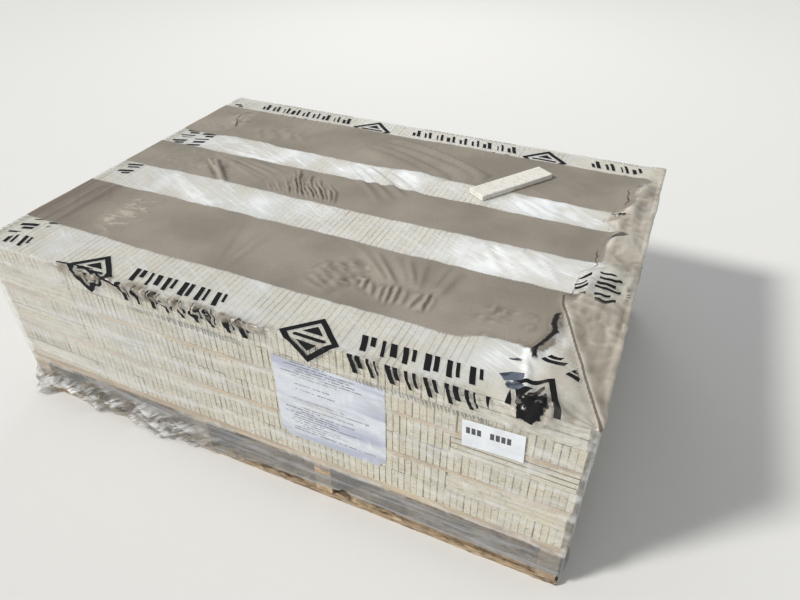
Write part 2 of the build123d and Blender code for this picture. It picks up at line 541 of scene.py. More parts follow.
def build_pallet():
    boards = wood_material("wood_board", (204, 186, 158), (176, 154, 126), "X")
    worn = wood_material("wood_worn", (204, 184, 154), (166, 144, 116), "X", 0.75)
    stringers = wood_material("wood_stringer", (200, 178, 148), (172, 148, 118), "Y")
    card = card_material()
    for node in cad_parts:
        seed = sum(map(ord, node))
        if node.startswith("deck_board"):
            plank(node.replace("board", "plank"), node, 0, boards, seed)
        elif node.startswith("bottom_board"):
            plank(node.replace("board", "plank"), node, 0, worn, seed, 2.2)
        elif node.startswith("stringer"):
            plank(node + "_sawn", node, 1, stringers, seed)
        elif node.startswith("slip_sheet"):
            torn_sheet(node + "_torn", node, card, seed)


# Film hood
EDGE_ROUND = 0.006
TOP_CELLS = (284, 178)
WALL_ROWS = 50
# Where the top's mesh is closer along X and Y: from, to and how much
CLOSE_X = ((0.13, 0.19, 1.5), (0.315, 0.49, 2.0), (0.62, 0.75, 2.4), (0.89, 0.985, 1.7))
CLOSE_Y = ((0.01, 0.045, 1.5), (0.105, 0.19, 1.5), (0.33, 0.44, 2.0))


def graded(length, count, zones):
    """Places from 0 to length. Each zone (start, end, weight) draws them closer together."""
    fine = np.linspace(0, length, 20001)
    density = np.ones_like(fine)
    for start, end, weight in zones:
        density += (weight - 1) * band(fine, start - 0.01, start, end, end + 0.01)
    total = np.concatenate([[0], np.cumsum((density[1:] + density[:-1]) / 2)])
    return np.interp(np.linspace(0, total[-1], count + 1), total, fine)


def top_places(length, count, zones):
    edge = 1.5 * EDGE_ROUND
    zones = [(low * LENGTH, high * LENGTH, weight) for low, high, weight in zones]
    return graded(length, count, [(0, edge, 5), *zones, (length - edge, length, 5)])


def hem_height(side, s):
    """How high the film's hem hangs above the floor. s runs along the side."""
    if side:
        ragged = rough_noise(s, 0 * s + 3.1, 0.05, 61 + side)
        return 0.03 + 0.009 * ragged if side == 1 else np.maximum(0.028 + 0.018 * ragged, 0.0015)
    share = s / LENGTH
    left = 0.008 + 0.007 * rough_noise(s, 0 * s, 0.04, 71) + 0.034 * band(share, 0.03, 0.055, 0.11, 0.135)
    left += 0.012 * bell(share - 0.195, 0.012)
    right = 0.046 + 0.003 * rough_noise(s, 0 * s, 0.07, 72)
    hem = left + (right - left) * smooth(0.4, 0.56, share)
    return np.maximum(hem + 0.016 * bell(share - 0.655, 0.008), 0.0015)


def hood_grid():
    """The hood unrolled: points of a smooth box, outward directions, flattened places, sides and faces."""
    middle = np.array([LENGTH / 2, WIDTH / 2, 0])
    xs, ys = top_places(LENGTH, TOP_CELLS[0], CLOSE_X), top_places(WIDTH, TOP_CELLS[1], CLOSE_Y)
    count = len(xs) * len(ys)
    top = np.stack(np.meshgrid(xs, ys, TOP, indexing="ij"), -1).reshape(-1, 3) - middle
    ids = np.arange(count).reshape(len(xs), -1)
    # Once round the top's edge: front, right, back, left
    ring = np.concatenate([ids[:-1, 0], ids[-1, :-1], ids[:0:-1, -1], ids[0, :0:-1]])
    ring_s = np.concatenate([xs[:-1], ys[:-1], xs[:0:-1], ys[:0:-1]])
    ring_side = np.repeat([0, 1, 2, 3], 2 * TOP_CELLS)
    hem = np.choose(ring_side, [hem_height(side, ring_s) for side in range(4)])
    shares = graded(1.0, WALL_ROWS, ((0, 0.016, 6), (0.02, 0.09, 1.8), (0.78, 1.0, 1.5)))[1:]
    walls = [np.stack([*top[ring, :2].T, TOP - share * (TOP - hem)], 1) for share in shares]
    points = np.concatenate([top, *walls])
    wall_ids = np.vstack([ring, count + np.arange(WALL_ROWS * len(ring)).reshape(WALL_ROWS, -1)])
    faces = np.concatenate([sheet_faces(ids), ring_faces(wall_ids)])
    side_of = np.concatenate([np.full(count, -1), np.tile(ring_side, WALL_ROWS)])
    # Flattened places: the top's own, running on past each edge down the side
    flat = (points + middle)[:, :2]
    for side, (axis, sign) in enumerate(((1, -1), (0, 1), (1, 1), (0, -1))):
        flat[:, axis] += np.where(side_of == side, sign * (TOP - points[:, 2]), 0)
    # Rounded edges, but for the foot
    inner = np.clip(points, EDGE_ROUND - middle - (0, 0, TOP), middle + (0, 0, TOP) - EDGE_ROUND)
    outward = points - inner
    outward /= np.maximum(np.linalg.norm(outward, axis=1), 1e-9)[:, None]
    return inner + EDGE_ROUND * outward, outward, flat, side_of, faces


def fold(flat, start, end, width, height, steep=0.5):
    """A fold between two places: a ridge with one steep side, fading at both ends."""
    p, q = np.array(start) * LENGTH, np.array(end) * LENGTH
    run = np.linalg.norm(q - p)
    along = (q - p) / run
    t = ((flat - p) @ along) / run
    d = (flat - p) @ np.array([-along[1], along[0]])
    fade = np.clip(t * (1 - t) * 4, 0, 1) ** 0.7 * ((t > 0) & (t < 1))
    return height * fade * bell(d, np.where(d > 0, width * steep, width))


def fan(flat, first, last, count, width, height, seed, jitter):
    """Folds side by side, from the first one to the last, each a little off."""
    random = np.random.RandomState(seed)
    total = np.zeros(len(flat))
    for k in range(count):
        t = k / (count - 1)
        ends = np.array(first) * (1 - t) + np.array(last) * t + random.uniform(-jitter, jitter, (2, 2))
        total = np.maximum(total, fold(flat, *ends, width * random.uniform(0.6, 1.3),
                                       height * random.uniform(0.4, 1.2), random.uniform(0.35, 0.8)))
    return total


def scatter(flat, centre, radius, count, run, width, height, lean, seed):
    """Short folds strewn over a patch, all leaning about the same way."""
    random = np.random.RandomState(seed)
    total = np.zeros(len(flat))
    for _ in range(count):
        turn, reach = random.uniform(0, 2 * math.pi), math.sqrt(random.uniform(0, 1))
        middle = np.array(centre) + reach * np.array([math.cos(turn), math.sin(turn)]) * np.array(radius)
        angle = lean + random.uniform(-0.5, 0.5)
        half = np.array([math.cos(angle), math.sin(angle)]) * run * random.uniform(0.3, 0.8)
        near = np.hypot(*(flat.T / LENGTH - middle[:, None])) < run + 0.02
        size = width * random.uniform(0.7, 1.3), height * random.uniform(0.4, 1.2)
        total[near] = np.maximum(total[near], fold(flat[near], middle - half, middle + half, *size))
    return total


def path_distance(flat, path):
    """Distance to a line through places given in shares of the length."""
    best = 9.0
    for p, q in zip(path[:-1], path[1:]):
        p, q = np.array(p) * LENGTH, np.array(q) * LENGTH
        t = np.clip((flat - p) @ (q - p) / ((q - p) @ (q - p)), 0, 1)
        best = np.minimum(best, np.linalg.norm(flat - (p + t[:, None] * (q - p)), axis=1))
    return best


def patch(flat, centre, radius, edge=0.35):
    """1 inside an ellipse, 0 outside, in shares of the load's length."""
    return 1 - smooth(1 - edge, 1 + edge, np.hypot(*((flat / LENGTH - centre) / radius).T))


def patches(flat, rows, edge=0.6):
    return sum(amount * patch(flat, centre, radius, edge) for centre, radius, amount in rows)


def across(flat, line):
    """How far to the right of a line across the top each point lies."""
    ys, xs = zip(*line)
    return flat[:, 0] - np.interp(flat[:, 1] / LENGTH, ys, xs) * LENGTH


def depth_inside(flat, corners):
    """How deep each point lies inside a shape with straight sides, in metres; less than 0 outside it."""
    depth = 0.02
    for p, q in zip(corners, corners[1:] + corners[:1]):
        p, q = np.array(p) * LENGTH, np.array(q) * LENGTH
        step = (q - p) / np.linalg.norm(q - p)
        depth = np.minimum(depth, (flat - p) @ np.array([-step[1], step[0]]))
    return np.maximum(depth, -0.02)


# Dust bands across the top: lower and upper edge, as shares of the load's length, and how soft the edges are
DUST_BANDS = ((0.09, 0.245), (0.335, 0.44), (0.51, 0.665))
DUST_EDGE = 0.008
# Where the bands stop at the right, from the front to the back. The lines below are given alike, as Y and X.
BAG_LINE = (
    (0.0, 0.905), (0.04, 0.905), (0.1, 0.905), (0.21, 0.902), (0.245, 0.918), (0.3, 0.915), (0.325, 0.935),
    (0.37, 0.932), (0.395, 0.928), (0.44, 0.94), (0.47, 0.922), (0.5, 0.93), (0.56, 0.952), (0.6, 0.945),
    (0.65, 0.97), (0.73, 0.975),
)
# The silt that is folded into a dark ribbon beside the near right corner
RIBBON = (
    (0.08, 0.904), (0.092, 0.9), (0.103, 0.896), (0.125, 0.906), (0.147, 0.914), (0.165, 0.908),
    (0.19, 0.909),
)
# The long fold down into that corner, and a tear by the far left corner
CREASES = (
    (0.0, 0.999), (0.035, 0.983), (0.075, 0.966), (0.11, 0.952), (0.16, 0.93), (0.205, 0.911), (0.24, 0.905),
    (0.555, 0.108), (0.585, 0.092), (0.6, 0.08), (0.625, 0.074), (0.65, 0.079),
)
# Each line's ridge: from, to, width to the left, width to the right and height
RIDGES = (
    (CREASES, 0.01, 0.23, 0.006, 0.022, 0.01), (BAG_LINE, 0.21, 0.725, 0.02, 0.01, 0.0022),
    (RIBBON, 0.09, 0.185, 0.007, 0.014, 0.009),
)
# From here on places are X and Y: a fold under the ribbon, painted pale as its highlight, a tear in the front
# edge's crumples, and the blue scrap of film in its parts
PALE_FOLD = ((0.889, 0.1), (0.894, 0.078), (0.901, 0.052), (0.903, 0.036))
FRONT_TEAR = ((0.168, 0.006), (0.2, 0.01), (0.232, 0.012), (0.262, 0.0), (0.3, -0.006))
SCRAPS = (
    ((0.867, 0.046), (0.877, 0.036), (0.899, 0.045), (0.897, 0.057), (0.884, 0.055)),
    ((0.878, 0.033), (0.884, 0.024), (0.896, 0.024), (0.903, 0.034), (0.894, 0.04)),
    ((0.87, 0.08), (0.872, 0.075), (0.889, 0.077), (0.887, 0.083)),
)
# Where each pleat starts, as a share of the way across the middle band, and how high it stands
PLEATS = (
    (0.55, 0.66, 0.42, 0.58, 0.34, 0.4, 0.05, -0.15, 0.1, 0.28, -0.05, 0.22, 0.05, 0.3, 0.15),
    (0.28, 0.4, 0.34, 0.5, 0.8, 0.45, 1.0, 0.9, 0.6, 0.95, 0.65, 1.0, 0.6, 0.85, 0.5),
)
# Short folds in the crumpled near band: place along X, lean, lower end, upper end and strength
SHORT_FOLDS = (
    (0.604, -0.1, 0.14, 0.15, 0.0), (0.62, -0.1, 0.14, 0.154, 0.25), (0.634, -0.18, 0.136, 0.158, 0.75),
    (0.649, -0.25, 0.126, 0.142, 0.4), (0.664, -0.22, 0.12, 0.15, 0.6), (0.675, -0.2, 0.117, 0.156, 0.8),
    (0.687, -0.16, 0.124, 0.158, 0.65), (0.702, -0.08, 0.126, 0.15, 0.35), (0.718, 0.2, 0.122, 0.156, 0.55),
    (0.733, -0.08, 0.123, 0.16, 0.85), (0.745, 0.0, 0.13, 0.15, 0.0),
)
# Folds side by side on the top: the first one's ends, the last one's, count, width, height, seed and jitter
TOP_FANS = (
    (((0.15, 0.405), (0.225, 0.345)), ((0.165, 0.408), (0.245, 0.33)), 2, 0.01, 0.0085, 23, 0.002),
    (((0.15, 0.425), (0.3, 0.365)), ((0.22, 0.43), (0.33, 0.4)), 4, 0.014, 0.004, 24, 0.006),
    (((0.415, 0.49), (0.555, 0.38)), ((0.5, 0.5), (0.6, 0.425)), 4, 0.014, 0.0085, 25, 0.01),
    (((0.42, 0.575), (0.6, 0.505)), ((0.45, 0.635), (0.7, 0.545)), 4, 0.028, 0.026, 26, 0.006),
    (((0.075, 0.65), (0.105, 0.56)), ((0.1, 0.66), (0.12, 0.56)), 3, 0.01, 0.006, 28, 0.006),
    (((0.15, 0.58), (0.2, 0.525)), ((0.24, 0.59), (0.29, 0.55)), 6, 0.011, 0.0045, 29, 0.012),
    (((0.56, 0.24), (0.65, 0.166)), ((0.755, 0.235), (0.742, 0.165)), 8, 0.018, 0.006, 31, 0.008),
    (((0.535, 0.122), (0.59, 0.098)), ((0.545, 0.17), (0.6, 0.142)), 4, 0.01, 0.003, 32, 0.006),
    (((0.37, 0.215), (0.4, 0.1)), ((0.43, 0.19), (0.41, 0.095)), 3, 0.016, 0.003, 33, 0.008),
)
# Fans of folds in the white bands, painted pale as highlights, as above, and tight folds that meet the
# near right corner
PALE_FANS = (
    (((0.73, 0.335), (0.8, 0.258)), ((0.84, 0.335), (0.905, 0.262)), 7, 0.01, 1.0, 61, 0.014),
    (((0.76, 0.505), (0.81, 0.45)), ((0.88, 0.51), (0.92, 0.455)), 6, 0.01, 1.0, 62, 0.012),
    (((0.13, 0.33), (0.24, 0.285)), ((0.15, 0.29), (0.27, 0.25)), 6, 0.009, 1.0, 63, 0.01),
    (((0.13, 0.505), (0.24, 0.48)), ((0.14, 0.47), (0.3, 0.45)), 4, 0.01, 1.0, 64, 0.01),
    (((0.47, 0.505), (0.56, 0.445)), ((0.54, 0.505), (0.62, 0.45)), 4, 0.009, 1.0, 65, 0.01),
)
CORNER_FAN = (((0.999, -0.003), (0.8, -0.012)), ((0.999, -0.01), (0.9, -0.05)), 6, 0.006, 0.0042, 48, 0.004)
# Strewn short folds: centre, radius, count, run, width, height, lean and seed
TOP_SCATTERS = (
    ((0.59, 0.16), (0.04, 0.036), 14, 0.02, 0.006, 0.004, -0.6, 35),
    ((0.85, 0.14), (0.04, 0.05), 18, 0.013, 0.0048, 0.0034, 0.9, 38),
    ((0.79, 0.56), (0.1, 0.06), 8, 0.03, 0.007, 0.003, -0.3, 37),
)
# Curled short folds in the near dust, with painted highlights along them
GLINTS = ((0.16, 0.172), (0.024, 0.066), 34, 0.036, 0.0068, 1.0, 0.08, 34)
# Where the film is milky on the top, where its dust is creased finely, and where the mesh is close enough
# to paint shade into hollows and highlights onto crests: centre, radius and how much
TOP_HAZE = (
    ((0.22, 0.29), (0.12, 0.05), 0.36), ((0.81, 0.29), (0.11, 0.05), 0.36),
    ((0.24, 0.475), (0.14, 0.04), 0.36),
    ((0.84, 0.475), (0.11, 0.04), 0.36), ((0.4, 0.29), (0.06, 0.05), 0.2), ((0.5, 0.475), (0.1, 0.04), 0.2),
    ((0.87, 0.07), (0.035, 0.04), 0.32), ((0.93, 0.1), (0.03, 0.06), 0.3),
)
TOP_CRINKLES = (
    ((0.59, 0.155), (0.05, 0.045), 0.45), ((0.85, 0.14), (0.05, 0.05), 0.6),
    ((0.69, 0.15), (0.07, 0.03), 0.4), ((0.23, 0.565), (0.08, 0.035), 0.5),
    ((0.14, 0.39), (0.1, 0.045), 0.4), ((0.09, 0.62), (0.03, 0.05), 0.7),
    ((0.06, 0.56), (0.06, 0.06), 0.4), ((0.35, 0.385), (0.1, 0.045), 0.25),
    ((0.16, 0.17), (0.04, 0.07), 0.5),
)
CLOSE_MESH = (
    ((0.385, 0.385), (0.13, 0.075), 0.6), ((0.69, 0.142), (0.085, 0.055), 0.5),
    ((0.19, 0.37), (0.07, 0.055), 1),
    ((0.59, 0.155), (0.06, 0.06), 0.7), ((0.85, 0.14), (0.06, 0.06), 0.7),
)


def fall_of(flat, side_of):
    """How far down its side each point lies."""
    x, y = flat.T
    return np.choose(side_of + 1, [0 * x, -y, x - LENGTH, y - WIDTH, -x])


def wad_share(flat, side_of):
    """Where the print's wad of film is crushed into the edge beside the near right corner."""
    return patch(flat, (0.922, 0.004), (0.034, 0.026), 0.5) * (side_of < 1)


def sheen_folds(flat):
    return np.clip(sum(fan(flat, *row) for row in PALE_FANS), 0, 1)


def dust_share(flat, on_top):
    x, y = flat.T
    wander = 0.0055 * noise(x, y, 0.22, 5) + 0.0026 * noise(x, y, 0.035, 6)
    wander += 0.01 * patch(flat, (0.17, 0.51), (0.06, 0.05))
    wander -= 0.008 * patch(flat, (0.05, 0.335), (0.06, 0.04))
    total = 0
    for low, high in np.array(DUST_BANDS) * LENGTH:
        total = total + band(y - wander, low - DUST_EDGE, low + DUST_EDGE, high - DUST_EDGE, high + DUST_EDGE)
    stop = 1 - smooth(-0.004, 0.045, across(flat, BAG_LINE) + 4 * wander + 0.008 * noise(x, y, 0.035, 4))
    return total * stop * (1 - 0.9 * patch(flat, (0.86, 0.088), (0.06, 0.02))) * on_top


def close_folds(flat):
    """Folds side by side in the dust: a count that grows by 1 from fold to fold, and their strength."""
    x, y = flat.T
    u, v = x / LENGTH, y / LENGTH
    places, leans, lows, highs, strengths = np.array(SHORT_FOLDS).T
    at = u - np.interp(u, places, leans) * (v - 0.14) + 0.001 * noise(x, y, 0.02, 93)
    low, high, short = (np.interp(at, places, values) for values in (lows, highs, strengths))
    short = short * band(v, low - 0.008, low + 0.004, high - 0.006, high + 0.008)
    # The ones that fan out across the middle band
    starts, heights = np.array(PLEATS)
    count = len(starts)
    s = (0.43 - v) / 0.092
    left, right = 0.268 + 0.066 * s, 0.425 + 0.052 * s
    phase = count * (u - left) / (right - left) + 0.9 * noise(x, y, 0.1, 91) + 0.25 * noise(x, y, 0.035, 90)
    number = np.clip(np.floor(phase).astype(int), 0, count - 1)
    begin = starts[number] + 0.12 * noise(x, y, 0.03, 92)
    long = heights[number] * band(s, begin, begin + 0.45, 0.86, 1.02)
    long = long * band(phase, -0.2, 0.3, count - 0.4, count + 0.1)
    near = v < 0.29
    tally = np.where(near, np.interp(at, places, np.arange(len(places))) + 0.9, phase)
    return tally, np.where(near, short, long)


def top_relief(flat):
    x, y = flat.T
    u, v = x / LENGTH, y / LENGTH
    tally, strength = close_folds(flat)
    top = np.where(v < 0.29, 0.009, 0.0125) * strength * band(tally % 1, 0.0, 0.68, 0.74, 1.0)
    top += sum(fan(flat, *row) for row in TOP_FANS) + sum(scatter(flat, *row) for row in TOP_SCATTERS)
    top += 0.003 * np.minimum(scatter(flat, *GLINTS), 1) + 0.0022 * sheen_folds(flat)
    top += 0.003 * crumple(x, y, 0.04, 20) * patch(flat, (0.14, 0.39), (0.1, 0.045))
    rough = patch(flat, (0.585, 0.155), (0.045, 0.045), 0.6)
    top += 0.0032 * crumple(x + 0.4 * y, 0.7 * y, 0.034, 19, 3) * rough
    # Slack, muddy film at the right end
    slack = smooth(-0.006, 0.035, across(flat, BAG_LINE))
    slack *= 0.35 + 0.65 * smooth(0.1, 0.22, v + 0.8 * (u - 0.93))
    lumps = 0.003 + 0.008 * rough_noise(x, y, 0.13, 41, 2) + 0.016 * crumple(x, 0.8 * y, 0.1, 42, 4)
    top += slack * (1 - 0.6 * smooth(0.955, 0.99, u)) * lumps
    top += slack * (0.0022 * ridges(x, y, 0.05, 40) + 0.0095 * crumple(1.5 * x, 0.28 * y, 0.05, 43, 4))
    for line, low, high, left, right, height in RIDGES:
        away = across(flat, line)
        span = band(v, low - 0.015, low + 0.005, high - 0.005, high + 0.015)
        top += height * span * bell(away, np.where(away < 0, left, right))
    return np.maximum(top + 0.006 * bell(path_distance(flat, PALE_FOLD), 0.007), -0.0011)


def hood_relief(flat, side_of):
    """How far the film stands out from its smooth box at each point."""
    x, y = flat.T
    u = x / LENGTH
    by_edge, front = side_of < 1, side_of == 0
    out = 0.0004 * rough_noise(x, y, 0.09, 11) + np.where(side_of < 0, top_relief(flat), 0)
    # Gathers that meet in the near right corner
    far, angle = np.hypot(x - LENGTH, y), np.arctan2(y, LENGTH - x)
    gather = np.abs(np.sin(9 * angle + 0.7 * np.sin(3 * angle))) ** 0.8
    out += 0.005 * gather * np.exp(-far / 0.07) * smooth(0.004, 0.03, far) * by_edge
    # The print's wad of film, and crumples along the front's top edge
    wad = 0.004 + 0.016 * crumple(x, y, 0.03, 45) + 0.01 * crumple(x, y, 0.014, 47)
    out += wad_share(flat, side_of) * wad
    strength = 0.25 + 0.75 * band(u, 0.17, 0.22, 0.5, 0.62) + 0.25 * band(u, 0.62, 0.66, 0.84, 0.9)
    out += bell(y + 0.008, 0.024) * by_edge * strength * (0.011 * crumple(x, 0.7 * y, 0.026, 51) - 0.001)
    # Level creases down the front
    lay = y + 0.01 * np.sin(2.3 * x) + 0.004 * noise(x, y, 0.3, 50)
    wave = 0.5 + 0.5 * np.sin(2 * math.pi * (lay / 0.072 + 0.35 * noise(x, y, 0.25, 49)))
    wave = 0.0026 * wave ** 2 * (1 - 0.5 * smooth(0.55, 0.75, u))
    wave += 0.0024 * crumple(0.16 * x, lay, 0.034, 53, 3) + 0.001 * ridges(0.3 * x, y, 0.016, 54)
    wave += 0.005 * smooth(0.72, 0.84, u) * crumple(0.4 * x, 1.1 * y + 0.1 * x, 0.036, 62, 4)
    out += np.where(front, wave + fan(flat, *CORNER_FAN), 0)
    # Over the openings of the pallet the film sinks in, and at the left it hangs in rags
    depth = np.where(front, -y, 0)
    out += smooth(TOP - 0.14, TOP - 0.12, depth) * (-0.0035 + 0.004 * crumple(0.15 * x, y, 0.03, 55, 3))
    ragged = smooth(TOP - 0.125, TOP - 0.06, depth) * (1 - smooth(0.3, 0.46, u))
    strips = crumple(0.38 * (0.8 * x - 0.6 * y), 0.6 * x + 0.8 * y, 0.04, 57, 4)
    out += ragged * (0.002 + 0.026 * crumple(x, 1.2 * y, 0.105, 56, 4) + 0.02 * strips)
    out += np.where(front, 0.03 * bell(u - 0.012, 0.016) * smooth(TOP - 0.085, TOP - 0.004, depth), 0)
    # The other sides
    rest = side_of > 0
    out += rest * (0.0045 * crumple(x, y, 0.12, 58, 4) + 0.0005 * ridges(x, y, 0.05, 59))
    foot = smooth(TOP - 0.16, TOP - 0.06, fall_of(flat, side_of))
    out += rest * foot * (0.018 * crumple(x, y, 0.055, 60) - 0.003)
    # Flat under the label
    low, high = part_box("pallet_label")
    inside = front * 1.0
    for value, least, most in ((x - LENGTH / 2, low.x, high.x), (TOP + y, low.z, high.z)):
        inside *= band(value, least - 0.014, least - 0.004, most + 0.004, most + 0.014)
    return out * (1 - inside) - 0.0004 * inside


# Where the repeated print starts beside the near right corner
CORNER_PRINT = np.array([0.902, -0.029])
# How far in and how far on the print lies on each edge, as shares of the length: front, right, back and left
PRINT_IN = (0.0, 0.05, 0.045, 0.05)
PRINT_ON = (0.185, 0.02, 0.18, 0.1)
PRINT_PERIOD = 0.385
# Rows of strokes: start, count, pitch, lower edge, upper edge, seed and strength
PRINT_ROWS = (
    (0.115, 6, 0.03, 0.013, 0.043, 3.0, 1.0), (0.112, 9, 0.0267, -0.028, 0.002, 17.0, 1.0),
    (0.12, 20, 0.0105, -0.046, -0.037, 41.0, 0.7),
)


def print_places(flat, side_of):
    """Where each point lies in the film's repeated print: along the nearest edge, in from it, and a fade."""
    x, y = flat.T
    u, v = x / LENGTH, y / LENGTH
    near = np.stack([y, LENGTH - x, WIDTH - y, x])
    order = np.argsort(near, axis=0)
    edge = order[0]
    s, t = np.choose(edge, [x, y, LENGTH - x, WIDTH - y]), np.choose(edge, near)
    second = np.choose(order[1], near)
    length = np.where(edge % 2 == 0, LENGTH, WIDTH)
    fade = smooth(0.006, 0.016, np.where(side_of < 0, second - t, np.minimum(s, length - s)))
    spots = sum(patch(flat, place, (0.04, 0.036)) for place in ((0.955, 0.27), (0.95, 0.4)))
    fade = np.where(edge == 1, fade * np.minimum(spots, 1), fade)
    start = np.where(y < 0.02, smooth(0.16, 0.166, u), 1)
    fade = np.where(edge == 0, fade * start * (1 - smooth(0.868, 0.874, u)), fade)
    slack = smooth(-0.02, 0.04, across(flat, BAG_LINE)) * (side_of < 0)
    bend = 0.0014 * noise(x, y, 0.05, 95) * (1 + 6 * slack)
    rough = 0.02 * bell(y + 0.01, 0.022) * band(u, 0.17, 0.23, 0.5, 0.6)
    s = s - np.choose(edge, PRINT_ON) * LENGTH + bend + rough * noise(x, y, 0.022, 96)
    t = t - np.choose(edge, PRINT_IN) * LENGTH + bend + rough * noise(x, y, 0.024, 97)
    # Dragged round beside the near right corner, where the film is folded
    rel = flat - CORNER_PRINT * LENGTH
    here = band(u, 0.884, 0.892, 2, 3) * (1 - smooth(0.105, 0.113, v)) * (side_of < 0)
    here = here * (1 - smooth(-0.012, -0.006, across(flat, CREASES)))
    s = np.where(here > 0, rel @ np.array([0.42, 0.91]) + bend, s)
    t = np.where(here > 0, rel @ np.array([-0.91, 0.42]) + bend, t)
    return s, t, np.where(here > 0, here, fade)


def bends(values, sign):
    """How far each point lies below the points beside it (or above them, where sign is -1), from 0 to 1."""
    split = (TOP_CELLS[0] + 1) * (TOP_CELLS[1] + 1)
    found = []
    for grid in (values[:split].reshape(TOP_CELLS[0] + 1, -1), values[split:].reshape(WALL_ROWS, -1)):
        soft = np.pad(grid, 2, mode="edge")
        for axis in (0, 1):
            soft = (np.roll(soft, 1, axis) + soft + np.roll(soft, -1, axis)) / 3
        deep = np.pad(np.clip((sign * (soft[2:-2, 2:-2] - grid) - 0.0001) / 0.0005, 0, 1.4), 1, mode="edge")
        for axis in (0, 1):
            deep = (np.roll(deep, 1, axis) + 3 * deep + np.roll(deep, -1, axis)) / 5
        found.append(np.clip(deep[1:-1, 1:-1].ravel(), 0, 1))
    return np.concatenate(found)


def print_mask(n):
    """1 where the film is printed: a plain diamond, then two rows of slanting strokes and a fine one."""
    t = n.attribute("print_t") / LENGTH
    s = (n.attribute("print_s") / LENGTH / PRINT_PERIOD).part() * PRINT_PERIOD
    upright = abs(t - 0.008) / 0.044
    reach = abs(s - 0.048) / 0.046 + upright
    mask = reach.within(0.74, 1.0) | (reach < 0.56) * (abs(upright - 0.14) > 0.07)
    for start, count, pitch, low, high, seed, strength in PRINT_ROWS:
        # Two strokes to a place, the second one of varying width and height
        place = (s + t * 0.3 - (start + 0.15 * (low + high))) / pitch
        number, inside = place.whole(), place.part()
        chance = n.chances(number + seed)
        first = inside < chance[0] * 0.14 + 0.18
        tall = t > chance[2] * (0.45 * (high - low)) + low
        second = (inside < chance[1] * 0.28 + 0.52) * (inside > 0.42) * tall
        row = t.within(low, high) * number.within(-0.5, count - 0.5)
        mask = mask | row * (first | second) * strength
    return mask * (n.attribute("print_fade") > 0.5)


